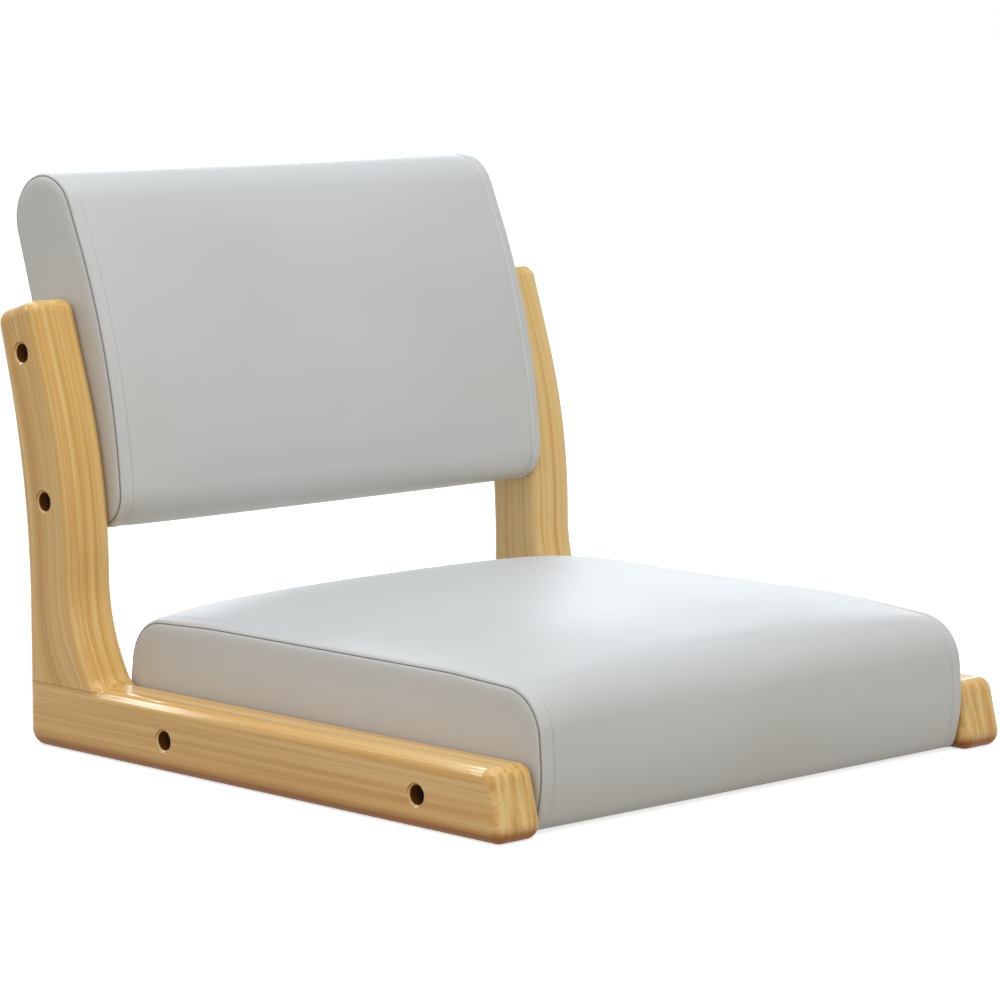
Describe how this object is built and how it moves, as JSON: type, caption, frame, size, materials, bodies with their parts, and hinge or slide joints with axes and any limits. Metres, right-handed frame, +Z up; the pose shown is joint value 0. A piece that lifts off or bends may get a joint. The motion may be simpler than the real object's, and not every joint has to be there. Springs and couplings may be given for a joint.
{
  "type": "floor chair",
  "caption": "Legless floor chair: two glued timber side frames shaped like an L hold a crowned seat pad and a curved lumbar back pad, both covered in pale faux leather.",
  "frame": {"origin": "on the floor, midway between the side frames and midway between their front toes and the rearmost point of the back pad", "axes": "+X across the chair to the viewer's right when the chair is seen from its front, +Y from the front of the seat to the back pad, +Z up"},
  "size_m": [0.48, 0.5298, 0.3905],
  "materials": {
    "lacquered_pine": "planed softwood, sanded edges, clear gloss lacquer",
    "beech_dowel": "turned and fluted hardwood, glued",
    "raw_softwood": "sawn, unfinished",
    "plywood": "sanded birch plywood, unfinished",
    "polyurethane_foam": "cut flexible foam",
    "faux_leather": "smooth satin coated cloth",
    "nonwoven_cloth": "thin black nonwoven",
    "zinc_plated_steel": "bright zinc plating"
  },
  "bodies": {
    "root": {"left_upright": "lacquered_pine", "right_upright": "lacquered_pine", "left_base_rail": "lacquered_pine", "right_base_rail": "lacquered_pine", "corner_dowels": "beech_dowel", "seat_left_batten": "raw_softwood", "seat_right_batten": "raw_softwood", "seat_front_batten": "raw_softwood", "seat_rear_batten": "raw_softwood", "seat_deck": "plywood", "seat_deck_screws": "zinc_plated_steel", "seat_corner_screws": "zinc_plated_steel", "seat_foam": "polyurethane_foam", "seat_cover": "faux_leather", "seat_left_side_panel": "faux_leather", "seat_right_side_panel": "faux_leather", "seat_cover_staples": "zinc_plated_steel", "seat_dust_cloth": "nonwoven_cloth", "seat_threaded_inserts": "zinc_plated_steel", "seat_bolts": "zinc_plated_steel", "seat_bolt_washers": "zinc_plated_steel", "back_left_end_board": "plywood", "back_right_end_board": "plywood", "back_board": "plywood", "back_bottom_rail": "raw_softwood", "back_top_rail": "raw_softwood", "back_board_screws": "zinc_plated_steel", "back_end_screws": "zinc_plated_steel", "back_foam": "polyurethane_foam", "back_cover": "faux_leather", "back_left_side_panel": "faux_leather", "back_right_side_panel": "faux_leather", "back_threaded_inserts": "zinc_plated_steel", "back_bolts": "zinc_plated_steel", "back_bolt_washers": "zinc_plated_steel"}
  },
  "joints": []
}
